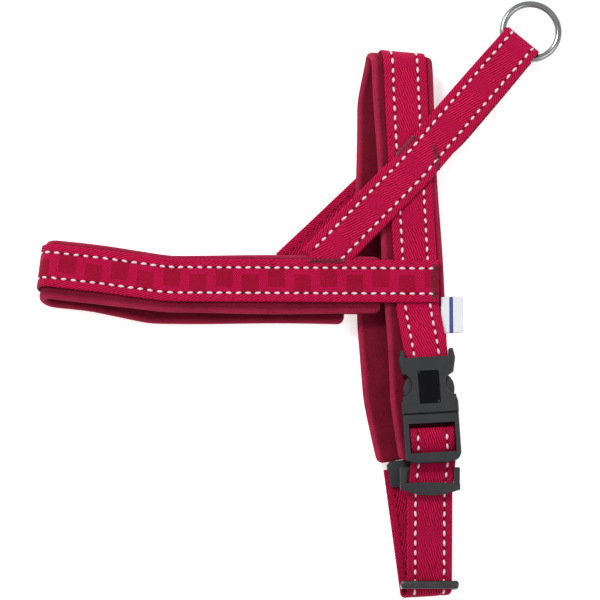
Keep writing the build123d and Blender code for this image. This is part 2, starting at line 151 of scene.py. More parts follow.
def arc(start, end, bulge, count=16):
    """Half circle from the end of one layer round to the start of the next one."""
    start = np.array(start, float)
    end = np.array(end, float)
    middle = (start + end) / 2
    rise = (start - end) / 2
    out = np.array([bulge[0], bulge[1], 0.0]) * abs(rise[2])
    turns = np.linspace(0, math.pi, count)[1:-1]
    return [middle + rise * math.cos(t) + out * math.sin(t) for t in turns]


def loop_path(near, far, bulge, smooth=3, step=STEP, lead_in=(), lead_side=None):
    """Near layer up to the fold, the fold, and the far layer back; the side stays one way."""
    near_sides = plan_sides(near, 1)
    far_sides = plan_sides(far, -1)
    turn = arc(near[-1], far[0], bulge)
    mix = np.linspace(0, 1, len(turn) + 2)[1:-1, None]
    turn_sides = near_sides[-1] * (1 - mix) + far_sides[0] * mix
    points = list(lead_in) + list(near) + turn + list(far)
    first = [near_sides[0] if lead_side is None else lead_side] * len(lead_in)
    sides = np.concatenate([np.array(first).reshape(-1, 3), near_sides, turn_sides, far_sides])
    return Path(points, sides, smooth, step)


# ---- meshes ---------------------------------------------------------------------------
def new_object(name, verts, faces, weave=None):
    """Smooth-shaded object; weave holds (along, across) in mm for each vertex."""
    mesh = bpy.data.meshes.new(name)
    mesh.from_pydata([tuple(v) for v in verts], [], faces)
    mesh.update()
    if weave is not None:
        layer = mesh.attributes.new("weave", "FLOAT_VECTOR", "POINT")
        values = np.zeros((len(weave), 3), np.float32)
        values[:, :2] = weave
        layer.data.foreach_set("vector", values.ravel())
    mesh.polygons.foreach_set("use_smooth", [True] * len(mesh.polygons))
    piece = bpy.data.objects.new(name, mesh)
    bpy.context.scene.collection.objects.link(piece)
    return piece


def tube_faces(rings, around, base=0):
    """Side and end faces of a tube whose vertices run ring by ring, from the index base on."""
    faces = []
    for i in range(rings - 1):
        for j in range(around):
            k = (j + 1) % around
            here, after = base + i * around, base + (i + 1) * around
            faces.append((here + j, here + k, after + k, after + j))
    faces.append(tuple(base + j for j in range(around))[::-1])
    faces.append(tuple(base + (rings - 1) * around + j for j in range(around)))
    return faces


def sweep(name, path, section, shape, stations):
    """Closed tube of the given section along a path. section lists (across, out) points.

    shape(s, across, out) returns the changed (across, out), for bulges, waves and stitch grooves.
    """
    verts = []
    weave = []
    for s in stations:
        place, side, normal = path.at(s)
        for across, out in section:
            moved_across, moved_out = shape(s, across, out)
            verts.append(place + side * moved_across + normal * moved_out)
            weave.append((s / MM, across / MM))
    return new_object(name, verts, tube_faces(len(stations), len(section)), weave)


def web_section(width, thick, rows):
    """Webbing's section: flat faces, rounded selvedges, and closer columns at the stitch rows."""
    half = width / 2
    r = thick / 2
    flat = half - r
    places = set(np.round(np.arange(-flat, flat + 1e-6, flat / 14), 6))
    for row in rows:
        for shift in (-1.3, -0.85, -0.4, 0.0, 0.4, 0.85, 1.3):
            places.add(round(row + shift * MM, 6))
    places = [x for x in sorted(places, reverse=True) if abs(x) <= flat]
    turns = np.linspace(0, math.pi, 7)[1:-1]
    top = [(x, r) for x in places]
    left = [(-flat - r * math.sin(a), r * math.cos(a)) for a in turns]
    bottom = [(x, -r) for x in np.linspace(-flat, flat, 15)]
    right = [(flat + r * math.sin(a), -r * math.cos(a)) for a in turns]
    return top + left + bottom + right


def stitch_pits(rows, start, thick, seed):
    """Shape of stitched webbing: pulled down along its rows, most where the thread dives in."""
    def shape(s, across, out):
        ripple = RIPPLE * math.sin(s / (11 * MM) + seed + across / (9 * MM)) * abs(out) / (thick / 2)
        if out <= 0:
            return across, out + ripple
        phase = ((s - start) / STITCH_PITCH) % 1.0
        dive = math.exp(-((phase - 0.5) * 2 - 1) ** 2 / 0.09) + math.exp(-(phase * 2) ** 2 / 0.09)
        down = 0.0
        for row in rows:
            near = math.exp(-((across - row) / (0.75 * MM)) ** 2)
            down = max(down, near * (0.16 + 0.34 * min(dive, 1.0)) * MM)
        return across, out - down + ripple
    return shape


def pad_section(width, thick):
    """Lining's section: foam pressed thin under the webbing, with full, rolled edges."""
    points = []
    for a in np.linspace(0, 2 * math.pi, 52, endpoint=False):
        c = math.cos(a)
        s = math.sin(a)
        x = width / 2 * math.copysign(abs(c) ** 0.30, c)
        z = thick / 2 * math.copysign(abs(s) ** 0.55, s)
        roll = math.exp(-((abs(x) - width * 0.43) / (width * 0.055)) ** 2)
        points.append((x, z * (1 + 0.16 * roll)))
    return points


def stitch_rows(name, path, rows, out, start, end):
    """Running stitches: each is a plump bead of thread that dips into the webbing at its ends."""
    verts = []
    faces = []
    rings = 7
    around = 8
    wobble = 0.25 * MM
    for row in rows:
        s = start + STITCH_PITCH * 0.5
        while s + STITCH_L * 0.5 < end:
            lean = random.uniform(-wobble, wobble)
            long = STITCH_L * random.uniform(0.94, 1.05)
            base = len(verts)
            for i in range(rings):
                t = -1 + 2 * i / (rings - 1)
                place, side, normal = path.at(s + t * long / 2)
                swell = math.sqrt(max(1 - t * t, 0.0)) * 0.8 + 0.2 * (1 - abs(t))
                dip = -0.55 * MM * t * t
                centre = place + side * (row + lean * t) + normal * (out + dip)
                for j in range(around):
                    a = 2 * math.pi * j / around
                    r = STITCH_R * max(swell, 0.12)
                    verts.append(centre + side * (r * math.cos(a)) + normal * (0.72 * r * math.sin(a)))
            faces += tube_faces(rings, around, base)
            s += STITCH_PITCH
    return new_object(name, verts, faces)


# ---- materials ------------------------------------------------------------------------
class Nodes:
    """A few short words for building a node tree."""

    def __init__(self, name):
        self.material = bpy.data.materials.new(name)
        self.material.use_nodes = True
        self.tree = self.material.node_tree
        self.shader = self.tree.nodes["Principled BSDF"]

    def add(self, kind, **values):
        node = self.tree.nodes.new(kind)
        for key, value in values.items():
            setattr(node, key, value)
        return node

    def link(self, source, target):
        self.tree.links.new(source, target)

    def maths(self, operation, a, b=None, c=None):
        node = self.add("ShaderNodeMath", operation=operation)
        for socket, value in zip(node.inputs, (a, b, c)):
            if value is None:
                continue
            if isinstance(value, (int, float)):
                socket.default_value = value
            else:
                self.link(value, socket)
        return node.outputs[0]

    def mix(self, factor, a, b):
        node = self.add("ShaderNodeMix", data_type="RGBA")
        for socket, value in ((node.inputs[0], factor), (node.inputs[6], a), (node.inputs[7], b)):
            if isinstance(value, (int, float)):
                socket.default_value = value
            elif isinstance(value, tuple):
                socket.default_value = (*value, 1.0)
            else:
                self.link(value, socket)
        return node.outputs[2]

    def noise(self, scale, detail, vector=None):
        node = self.add("ShaderNodeTexNoise")
        node.inputs["Scale"].default_value = scale
        node.inputs["Detail"].default_value = detail
        if vector is None:
            vector = self.add("ShaderNodeTexCoord").outputs["Object"]
        self.link(vector, node.inputs["Vector"])
        return node.outputs["Fac"]

    def bump(self, height, distance, strength=1.0):
        node = self.add("ShaderNodeBump")
        node.inputs["Distance"].default_value = distance
        node.inputs["Strength"].default_value = strength
        self.link(height, node.inputs["Height"])
        self.link(node.outputs["Normal"], self.shader.inputs["Normal"])

    def set(self, **values):
        for key, value in values.items():
            socket = self.shader.inputs[key.replace("_", " ")]
            socket.default_value = (*value, 1.0) if isinstance(value, tuple) else value

    def weave(self):
        """Distances along and across the piece, in mm."""
        node = self.add("ShaderNodeAttribute", attribute_name="weave")
        split = self.add("ShaderNodeSeparateXYZ")
        self.link(node.outputs["Vector"], split.inputs[0])
        return split.outputs[0], split.outputs[1]


def stripes(n, u, v, along, across, pitch):
    """0 to 1 ridges, pitch mm apart, square to the direction (along, across)."""
    phase = n.maths("ADD", n.maths("MULTIPLY", u, along), n.maths("MULTIPLY", v, across))
    wave = n.maths("SINE", n.maths("MULTIPLY", phase, 2 * math.pi / pitch))
    return n.maths("MULTIPLY_ADD", wave, 0.5, 0.5)


def webbing_material(name, row, block, share, shift, start, lean=-0.33, edge_lean=0.45,
                     ground="twill", dim=1.0):
    """Woven polyester: a panel between the stitch rows, herringbone margins and shut-in rows whose
    pits carry painted shade.

    lean and edge_lean turn the twill lines off the strap's length. ground is "twill" for steep
    lines with dotted blocks, or "blocks" for an open dotted ground with smooth dark blocks. A
    block takes the given share of each block length (mm), moved on by shift blocks. start is where
    the row's stitches begin, in mm, and dim darkens all the colours.
    """
    n = Nodes(name)
    u, v = n.weave()
    slow = n.noise(160.0, 2.0)
    fine = n.noise(1400.0, 3.0)
    ragged = n.maths("MULTIPLY_ADD", n.maths("SUBTRACT", n.noise(700.0, 2.0), 0.5), 0.9, v)
    v_soft = n.maths("MULTIPLY_ADD", n.maths("SUBTRACT", slow, 0.5), 1.5, ragged)
    away = n.maths("ABSOLUTE", v)
    panel = n.maths("LESS_THAN", away, row / MM)

    def twill(slant, pitch):
        return stripes(n, u, v_soft, slant, math.sqrt(1 - slant * slant), pitch)

    def choose(mask, yes, no):
        return n.maths("ADD", n.maths("MULTIPLY", mask, yes),
                       n.maths("MULTIPLY", n.maths("SUBTRACT", 1.0, mask), no))

    picks = stripes(n, u, v, 1.0, 0.0, 0.7)
    margin = n.maths("MULTIPLY_ADD", picks, 0.2, n.maths("MULTIPLY", twill(edge_lean, 1.15), 0.8))
    dots = n.maths("MULTIPLY", stripes(n, u, v, 0.87, 0.5, 0.92), stripes(n, u, v, 0.87, -0.5, 0.92))
    dots = n.maths("MULTIPLY_ADD", dots, 1.25, 0.34)
    smooth = n.maths("MULTIPLY_ADD", stripes(n, u, v, 0.35, 0.94, 0.62), 0.14, 0.17)
    place = n.maths("FRACT", n.maths("MULTIPLY_ADD", u, 1.0 / block, shift))
    in_block = n.maths("LESS_THAN", place, share)
    if ground == "blocks":
        across = n.maths("GREATER_THAN", v, -3.6)
        second = n.maths("LESS_THAN", n.maths("FRACT", n.maths(
            "MULTIPLY_ADD", u, 0.5 / block, shift)), 0.5)
        short = n.maths("MAXIMUM", n.maths("LESS_THAN", v, 3.2), second)
        mask = n.maths("MULTIPLY", in_block, short)
        mask = n.maths("MULTIPLY", mask, n.maths("MAXIMUM", across, n.maths("SUBTRACT", 1.0, second)))
        body = choose(mask, smooth, dots)
    else:
        body = n.maths("MULTIPLY_ADD", picks, 0.15, n.maths("MULTIPLY", twill(lean, 1.3), 0.85))
        body = choose(in_block, dots, body)
    height = choose(panel, body, margin)
    gap = n.maths("ABSOLUTE", n.maths("SUBTRACT", away, row / MM))
    seam = n.maths("SUBTRACT", 1.0, n.maths("MINIMUM", n.maths("MULTIPLY", gap, 0.95), 1.0))
    beat = n.maths("FRACT", n.maths("MULTIPLY", n.maths("SUBTRACT", u, start),
                                    1.0 / (STITCH_PITCH / MM)))
    dive = n.maths("MULTIPLY_ADD", n.maths("COSINE", n.maths("MULTIPLY", beat, 2 * math.pi)), 0.5, 0.5)
    pit_depth_and_shade = n.maths("MULTIPLY", seam, n.maths("MULTIPLY_ADD", n.maths("POWER", dive, 4.0), 0.85, 0.16))
    tone = n.maths("MULTIPLY_ADD", n.noise(45.0, 4.0), 0.3, -0.15)
    fibre = n.maths("MULTIPLY_ADD", fine, 0.9, -0.45)
    lit = n.maths("ADD", n.maths("ADD", height, tone), fibre)
    ramp = n.add("ShaderNodeValToRGB")
    stops = ramp.color_ramp.elements
    stops[0].position, stops[0].color = 0.0, (0.175 * dim, 0.0003, 0.0095 * dim, 1)
    stops[1].position, stops[1].color = 1.0, (0.66 * dim, 0.006 * dim, 0.090 * dim, 1)
    middle = stops.new(0.5)
    middle.color = (0.355 * dim, 0.0012, 0.034 * dim, 1)
    n.link(lit, ramp.inputs[0])
    # painted shade: the pits along the stitch rows, deepest where the thread dives in, are mixed
    # towards near black
    colour = n.mix(n.maths("MINIMUM", pit_depth_and_shade, 0.92), ramp.outputs[0], (0.045, 0.0004, 0.006))
    n.link(colour, n.shader.inputs["Base Color"])
    n.link(n.maths("MULTIPLY_ADD", height, -0.2, 0.76), n.shader.inputs["Roughness"])
    n.set(Specular_IOR_Level=0.08)
    n.bump(n.maths("SUBTRACT", n.maths("MULTIPLY_ADD", fine, 0.25, height),
                   n.maths("MULTIPLY", pit_depth_and_shade, 0.6)), 0.35 * MM, 0.9)
    return n.material


LIP_FROM = 13.0                  # mm from the pad's middle to where its rolled lip, coloured lighter as a painted highlight, starts


def lining_material():
    """Soft matt lining with a fine knit and a faint nap, and a painted highlight that colours its
    rolled lips lighter.
    """
    n = Nodes("lining")
    u, v = n.weave()
    knit = n.maths("MULTIPLY", stripes(n, u, v, 0.8, 0.6, 0.55), stripes(n, u, v, 0.8, -0.6, 0.55))
    cloudy = n.noise(70.0, 5.0)
    nap = n.noise(1100.0, 4.0)
    mixed = n.maths("ADD", n.maths("MULTIPLY_ADD", cloudy, 0.8, -0.15),
                    n.maths("MULTIPLY_ADD", nap, 1.1, -0.35))
    flat = n.mix(mixed, (0.065, 0.0006, 0.0055), (0.200, 0.0050, 0.0230))
    # painted highlight: the rolled lips, lit from above, take a lighter colour than the flat faces
    lip_highlight_colour = n.mix(mixed, (0.165, 0.0040, 0.0200), (0.420, 0.0200, 0.0640))
    away = n.maths("ABSOLUTE", v)
    lip = n.maths("MULTIPLY", n.maths("SUBTRACT", away, LIP_FROM), 0.45)
    lip = n.maths("MINIMUM", n.maths("MAXIMUM", lip, 0.0), 1.0)
    colour = n.mix(lip, flat, lip_highlight_colour)
    n.link(colour, n.shader.inputs["Base Color"])
    n.set(Roughness=0.9, Sheen_Weight=0.06, Sheen_Roughness=0.5, Sheen_Tint=(1.0, 0.3, 0.4),
          Specular_IOR_Level=0.12)
    height = n.maths("ADD", n.maths("MULTIPLY", knit, 0.5), n.maths("MULTIPLY", nap, 0.6))
    n.bump(height, 0.12 * MM, 0.6)
    return n.material


def thread_material(name, low, high, sheen):
    """Twisted thread; bright and reflective on the running stitches, dull on the tacks."""
    n = Nodes(name)
    twist = n.noise(3000.0, 2.0)
    n.link(n.mix(twist, low, high), n.shader.inputs["Base Color"])
    n.set(Roughness=0.42, Sheen_Weight=sheen, Specular_IOR_Level=0.6)
    n.bump(twist, 0.1 * MM, 0.7)
    return n.material


def plastic_material(name, low, high, rough, gloss=0.3):
    """Moulded plastic: a fine spark-eroded grain, cloudy gloss."""
    n = Nodes(name)
    grain = n.noise(2200.0, 2.0)
    cloudy = n.noise(120.0, 3.0)
    colour = n.mix(n.maths("ADD", n.maths("MULTIPLY", grain, 0.4), n.maths("MULTIPLY", cloudy, 0.6)),
                   low, high)
    n.link(colour, n.shader.inputs["Base Color"])
    n.link(n.maths("MULTIPLY_ADD", cloudy, 0.14, rough), n.shader.inputs["Roughness"])
    n.set(Specular_IOR_Level=gloss)
    n.bump(grain, 0.05 * MM, 0.35)
    return n.material


def metal_material(name, low, high, rough):
    """Drawn and polished steel with light handling scratches."""
    n = Nodes(name)
    stretch = n.add("ShaderNodeMapping")
    stretch.inputs["Scale"].default_value = (1.0, 0.12, 1.0)
    n.link(n.add("ShaderNodeTexCoord").outputs["Object"], stretch.inputs["Vector"])
    scratch = n.noise(900.0, 2.0, stretch.outputs[0])
    cloudy = n.noise(260.0, 4.0)
    n.link(n.mix(cloudy, low, high), n.shader.inputs["Base Color"])
    n.link(n.maths("MULTIPLY_ADD", scratch, 0.16, rough), n.shader.inputs["Roughness"])
    n.set(Metallic=1.0)
    n.bump(scratch, 0.02 * MM, 0.35)
    return n.material


def floor_material():
    """Plain white card, lit a little from within, as in a product photo."""
    n = Nodes("floor")
    n.link(n.mix(n.noise(3.0, 2.0), (0.86, 0.86, 0.86), (0.90, 0.90, 0.90)),
           n.shader.inputs["Base Color"])
    n.set(Roughness=0.9, Specular_IOR_Level=0.1, Emission_Color=(1, 1, 1), Emission_Strength=0.55)
    return n.material


def dress(piece, material, body="harness", replaces=()):
    """Gives a piece its material and its body, and hides the CAD nodes it stands for."""
    piece.data.materials.clear()
    piece.data.materials.append(material)
    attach(piece, body)
    if replaces:
        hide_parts(*replaces)


STITCH_FROM = {"girth": 2.0, "chest": 1.5, "lead": 5.0, "belly": 19.0}       # mm along each strap
WEAVE = {
    "girth": webbing_material("webbing_girth", GIRTH_ROW, 45.0, 0.20, 0.30, STITCH_FROM["girth"],
                              lean=0.33, edge_lean=-0.5),
    "chest": webbing_material("webbing_chest", CHEST_ROW, 14.5, 0.64, 0.1, STITCH_FROM["chest"],
                              ground="blocks"),
    "lead": webbing_material("webbing_lead", LEAD_ROW, 30.0, 0.27, 0.55, STITCH_FROM["lead"],
                             edge_lean=0.5),
    "belly": webbing_material("webbing_belly", BELLY_ROW, 38.0, 0.20, 0.12, STITCH_FROM["belly"],
                              lean=0.3, edge_lean=-0.5, dim=0.86),
}
LINING = lining_material()
STITCH = thread_material("stitch_thread", (0.46, 0.38, 0.41), (0.82, 0.74, 0.77), 0.1)
TACK = thread_material("tack_thread", (0.060, 0.003, 0.011), (0.15, 0.009, 0.030), 0.0)
PLASTIC = plastic_material("moulded_plastic", (0.013, 0.0150, 0.0170), (0.026, 0.029, 0.032), 0.34)
INSET = plastic_material("inset_plastic", (0.0012, 0.0012, 0.0016), (0.003, 0.003, 0.004), 0.10,
                         gloss=0.12)
STEEL = metal_material("ring_steel", (0.20, 0.21, 0.21), (0.36, 0.375, 0.375), 0.12)
NICKEL = metal_material("slider_steel", (0.045, 0.045, 0.048), (0.10, 0.10, 0.105), 0.22)


# ---- middles of the straps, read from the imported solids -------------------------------
def along_y(node, low, high, z_low, z_high, step=6 * MM):
    """Middles of a layer that runs up the page, from low to high."""
    count = int(abs(high - low) / step) + 2
    return middles(node, [(0, y) for y in np.linspace(low, high, count)], (0, 1), z_low, z_high)


def along_x(node, low, high, z_low, z_high, step=6 * MM):
    """Middles of a layer that runs across the page, from low to high."""
    count = int(abs(high - low) / step) + 2
    return middles(node, [(x, 0) for x in np.linspace(low, high, count)], (1, 0), z_low, z_high)


def out_to(points, axis, value, last=True):
    """Carries a layer on, as it runs, to the line where its fold starts."""
    end, before = (points[-1], points[-3]) if last else (points[0], points[2])
    run = end - before
    new = end + run * (value - end[axis]) / run[axis]
    return list(points) + [new] if last else [new] + list(points)


FOLD_CLEAR = 5 * MM              # slices this near a fold would cut its slanted end


def loop_layers(node, axis, turn, near_to, far_to, near_z, far_z):
    """Near and far middles of a folded loop, both carried to the fold's axis at turn."""
    along = along_y if axis == 1 else along_x
    back = math.copysign(FOLD_CLEAR, near_to - turn)
    near = along(node, near_to, turn + back, *near_z)
    far = along(node, turn + back, far_to, *far_z)
    return out_to(near, axis, turn), out_to(far, axis, turn, last=False)


girth_low, girth_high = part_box("girth_webbing")
chest_low, chest_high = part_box("chest_webbing")
GIRTH_TURN_Y = girth_high[1] - 8.3 * MM          # axis of the girth fold
CHEST_TURN_X = chest_low[0] + 13.2 * MM
CHEST_OUT = (-math.cos(math.radians(12.0)), math.sin(math.radians(12.0)))

PAD_LOW_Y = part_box("girth_pad")[0][1]
PAD_END_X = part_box("chest_pad")[1][0]
WEB_END_Y = girth_low[1]
near, far = loop_layers("girth_webbing", 1, GIRTH_TURN_Y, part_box("buckle_female")[1][1] - 7 * MM,
                        WEB_END_Y + 6 * MM, (16.5 * MM, 23 * MM), (1.0 * MM, 3.7 * MM))
girth_web = loop_path(near, out_to(far, 1, WEB_END_Y + 1 * MM), (0, 1))
near, far = loop_layers("girth_pad", 1, GIRTH_TURN_Y, PAD_LOW_Y + 4 * MM, PAD_LOW_Y + 4 * MM,
                        (12.5 * MM, 16.7 * MM), (3.5 * MM, 7.7 * MM))
near = out_to(near, 1, PAD_LOW_Y + 0.5 * MM, last=False)
far = out_to(far, 1, PAD_LOW_Y + 0.5 * MM)
girth_pad = loop_path(near, far, (0, 1))
near, far = loop_layers("chest_webbing", 0, CHEST_TURN_X, chest_high[0] - 0.5 * MM,
                        chest_high[0] - 13.5 * MM, (18.3 * MM, 20.3 * MM), (-0.1 * MM, 1.9 * MM))
chest_web = loop_path(near, far, CHEST_OUT)
near, far = loop_layers("chest_pad", 0, CHEST_TURN_X, PAD_END_X - 0.5 * MM, PAD_END_X - 14 * MM,
                        (14.3 * MM, 18.5 * MM), (1.7 * MM, 5.9 * MM))
chest_pad = loop_path(near, far, CHEST_OUT)

# the lead strap lies on one line, bent a little where its layers meet, and folds round the ring
RING_MID = (np.array(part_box("o_ring")[0]) + np.array(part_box("o_ring")[1])) / 2
RING_REACH = 12.6 * MM
LEAD_HEADING = math.radians(49.9)
LOW_HEADING = math.radians(45.0)
LEAD_SLOPE_L = 60.0 * MM
lead_dir = np.array([math.cos(LEAD_HEADING), math.sin(LEAD_HEADING), 0.0])
low_dir = np.array([math.cos(LOW_HEADING), math.sin(LOW_HEADING), 0.0])
ring_axis = RING_MID - lead_dir * RING_REACH
lead_top = ring_axis - lead_dir * LEAD_SLOPE_L


def lead_layer(z_low, z_high, reach):
    """Middles of one layer of the lead strap, from reach mm below its bend up to the ring."""
    low = [lead_top - low_dir * d * MM for d in np.linspace(reach, 4, 14)]
    high = [ring_axis - lead_dir * d * MM for d in np.linspace(57, 0.5, 12)]
    return (middles("lead_strap", low, low_dir, z_low, z_high)
            + middles("lead_strap", high, lead_dir, z_low, z_high))


def tucked(layer, length, drop):
    """Straight tail before a layer's first point, that dives under the strap it is sewn below."""
    run = layer[0] - layer[3]
    run /= np.linalg.norm(run)
    return [layer[0] + run * length * t - np.array([0, 0, drop * min(1.0, 1.6 * t)])
            for t in (1.0, 0.8, 0.6, 0.4, 0.2)]


lead_near = lead_layer(9.0 * MM, 20.4 * MM, 82.0)
lead_far = lead_layer(-0.2 * MM, 2.5 * MM, 92.0)[::-1]
near_tail = tucked(lead_near, 27 * MM, 1.9 * MM)
far_tail = tucked(lead_far[::-1], 27 * MM, -1.9 * MM)[::-1]
lead_web = loop_path(near_tail + lead_near, lead_far + far_tail, (lead_dir[0], lead_dir[1]))

# the belly strap: rolled round the male half's bar, down to the slider, and back underneath
BELLY_BAR_R = 1.6 * MM
ROLL_SLACK = 1.1 * MM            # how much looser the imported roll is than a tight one
belly_low, belly_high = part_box("belly_strap")
male_low, male_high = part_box("buckle_male")
BUCKLE_LEAN = math.radians(3.5)
down_dir = np.array([math.sin(BUCKLE_LEAN), -math.cos(BUCKLE_LEAN), 0.0])
BUCKLE_MID_Z = (male_low[2] + male_high[2]) / 2
ROLL_R = BELLY_BAR_R + WEB_T / 2
bar_mid = np.array([0.0, belly_high[1] - ROLL_R - WEB_T / 2 - ROLL_SLACK, BUCKLE_MID_Z])
bar_mid[0] = Solid("belly_strap").slice((0, bar_mid[1]), (0, 1), BUCKLE_MID_Z, 30 * MM)[0]
BELLY_TURN_Y = belly_low[1] + 3.6 * MM
belly_near, belly_far = loop_layers("belly_strap", 1, BELLY_TURN_Y, bar_mid[1] - 8 * MM,
                                    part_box("far_hook")[1][1] - 6 * MM, (7.2 * MM, 21.0 * MM),
                                    (2.0 * MM, 4.3 * MM))


def in_male(u, z):
    """Place on the male half's middle line: u down from the bar, z from the bar's height."""
    return bar_mid + down_dir * u * MM + np.array([0, 0, z * MM])


ROLL = 2.6                       # middle of the webbing from the bar's axis, in mm
roll = [in_male(u, -2.3) for u in (11.0, 8.0, 5.0, 2.5)]
roll += [in_male(-ROLL * math.sin(a), -ROLL * math.cos(a)) for a in np.radians(range(15, 181, 15))]
roll += [in_male(u, z) for u, z in ((2.2, 2.55), (4.4, 2.15), (6.6, 1.4), (8.8, 0.3), (11.0, -1.0),
                                    (13.2, -2.2), (15.5, -2.75))]
belly_near = [p for p in belly_near if p[1] < roll[-1][1] - 14 * MM]
across_dir = np.array([down_dir[1], -down_dir[0], 0.0])
belly_web = loop_path(belly_near, belly_far, (0, -1), smooth=2, step=0.6 * MM, lead_in=roll,
                      lead_side=across_dir)


# ---- webbing --------------------------------------------------------------------------
def strap(name, path, weave, row, nodes, stitch_to, seed, body="harness", step=0.9 * MM,
          width=WEB_W, taper=None):
    """Webbing with two rows of running stitches, from the weave's first stitch to stitch_to."""
    rows = (-row, row)
    stitch_from = STITCH_FROM[weave] * MM
    pits = stitch_pits(rows, stitch_from, WEB_T, seed)

    def shape(s, across, out):
        across, out = pits(s, across, out)
        return (across * taper(s), out) if taper else (across, out)

    stations = np.linspace(0.0, path.length, int(path.length / step) + 1)
    web = sweep(name, path, web_section(width, WEB_T, rows), shape, stations)
    dress(web, WEAVE[weave], body, nodes)
    threads = stitch_rows(name + "_stitches", path, rows, WEB_T / 2, stitch_from, stitch_to)
    dress(threads, STITCH, body)


def ring_taper(path):
    """Webbing drawn a little narrower where it turns round the ring."""
    turn = path.s[np.argmax(path.points @ lead_dir)]

    def taper(s):
        return 1 - 0.045 * math.exp(-((s - turn) / (26 * MM)) ** 2)
    return taper


strap("girth_webbing_woven", girth_web, "girth", GIRTH_ROW, ("girth_webbing",),
      girth_web.length - 3 * MM, 0.4)
strap("chest_webbing_woven", chest_web, "chest", CHEST_ROW, ("chest_webbing",),
      chest_web.length - 3 * MM, 1.7)
strap("lead_strap_woven", lead_web, "lead", LEAD_ROW, ("lead_strap",),
      lead_web.length - 5 * MM, 2.9, taper=ring_taper(lead_web))
HOOKED = 22 * MM                 # end of the belly strap that lies in the far hook, not stitched
strap("belly_strap_woven", belly_web, "belly", BELLY_ROW, ("belly_strap",),
      belly_web.length - HOOKED, 4.1, body="male_half", step=0.6 * MM, width=BELLY_W)


# ---- padded linings -------------------------------------------------------------------
def stations_between(start, end, step, fine):
    """Even stations with closer ones near both ends, where a padded piece rounds off."""
    ends = fine * (1 - np.cos(np.linspace(0, math.pi / 2, 8)))
    inner = np.linspace(start + fine, end - fine, int((end - start) / step))
    return np.concatenate([start + ends[:-1], inner, (end - ends[:-1])[::-1]])


def pad(name, path, width, nodes, seed):
    """Foam in a sewn cover: plump edges, gently uneven faces and rounded ends."""
    length = path.length
    end_r = 4 * MM

    def shape(s, across, out):
        t = min(s, length - s) / end_r
        f = math.sqrt(max(1 - (1 - min(t, 1.0)) ** 2, 0.0))
        narrow = (width / 2 - end_r * (1 - f)) / (width / 2)
        thin = 0.25 + 0.75 * f
        edge = abs(across) / (width / 2)
        dent = 1 - 0.10 * (1 - edge ** 2) + 0.05 * math.sin(s / (13 * MM) + seed)
        wave = 0.35 * MM * math.sin(s / (17 * MM) + seed * 2) * edge ** 3
        return across * narrow + wave * math.copysign(1, across) * f, out * thin * dent

    spots = stations_between(0.0, length, 1.6 * MM, end_r)
    piece = sweep(name, path, pad_section(width, PAD_T), shape, spots)
    dress(piece, LINING, "harness", nodes)


pad("girth_pad_sewn", girth_pad, GIRTH_PAD_W, ("girth_pad", "girth_foam"), 0.8)
pad("chest_pad_sewn", chest_pad, CHEST_PAD_W, ("chest_pad", "chest_foam"), 2.2)


# ---- moulded and metal parts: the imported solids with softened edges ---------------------
WELD = 2e-6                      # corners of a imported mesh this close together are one
FLAT = math.radians(1.5)         # faces that turn less than this are joined
SHARP = math.radians(28.0)       # edges that turn more than this are rolled
CREASE = math.radians(35.0)      # edges that still turn more than this are shaded as sharp


def face_order(face, count):
    """A number from a face's three lowest corners, so that faces lie in one order on every run."""
    first, second, third = sorted(v.index for v in face.verts)[:3]
    return (first * count + second) * count + third


def softened(node, name, material, body, radius=0.4 * MM, shape=None):
    """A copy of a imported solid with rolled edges, that stands for the node."""
    mesh = bmesh.new()
    mesh.from_mesh(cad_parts[node].data)
    bmesh.ops.remove_doubles(mesh, verts=mesh.verts, dist=WELD)
    bmesh.ops.dissolve_limit(mesh, angle_limit=FLAT, verts=mesh.verts, edges=mesh.edges,
                             delimit=set())
    sharp = [e for e in mesh.edges if len(e.link_faces) == 2 and e.calc_face_angle(0) > SHARP]
    bmesh.ops.bevel(mesh, geom=sharp, offset=radius, offset_type="OFFSET", segments=3,
                    profile=0.5, affect="EDGES", clamp_overlap=True)
    if shape:
        for vert in mesh.verts:
            shape(vert)
    bmesh.ops.triangulate(mesh, faces=[f for f in mesh.faces if len(f.verts) > 4])
    mesh.verts.index_update()
    mesh.faces.sort(key=lambda face: face_order(face, len(mesh.verts)))
    data = bpy.data.meshes.new(name)
    mesh.to_mesh(data)
    mesh.free()
    data.polygons.foreach_set("use_smooth", [True] * len(data.polygons))
    data.set_sharp_from_angle(angle=CREASE)
    piece = bpy.data.objects.new(name, data)
    bpy.context.scene.collection.objects.link(piece)
    dress(piece, material, body, (node,))


KEEPER_LIFT = 0.3 * MM           # keeps the raised stitches clear of the sliding keeper
SLIDER_LOW, SLIDER_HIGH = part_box("strap_slider")
SLIDER_BAR_Y = SLIDER_HIGH[1] - 1.45 * MM        # axis of the slider's round front bar


def lift_keeper(vert):
    vert.co.z += KEEPER_LIFT


def flatten_front(vert):
    """Spreads the front bar along the strap, so that it reads as a flat, rolled bar."""
    share = (vert.co.z - SLIDER_LOW[2]) / (SLIDER_HIGH[2] - SLIDER_LOW[2])
    share = min(max(share * 2 - 0.9, 0.0), 1.0)
    vert.co.y = SLIDER_BAR_Y + (vert.co.y - SLIDER_BAR_Y) * (1 + 0.7 * share)


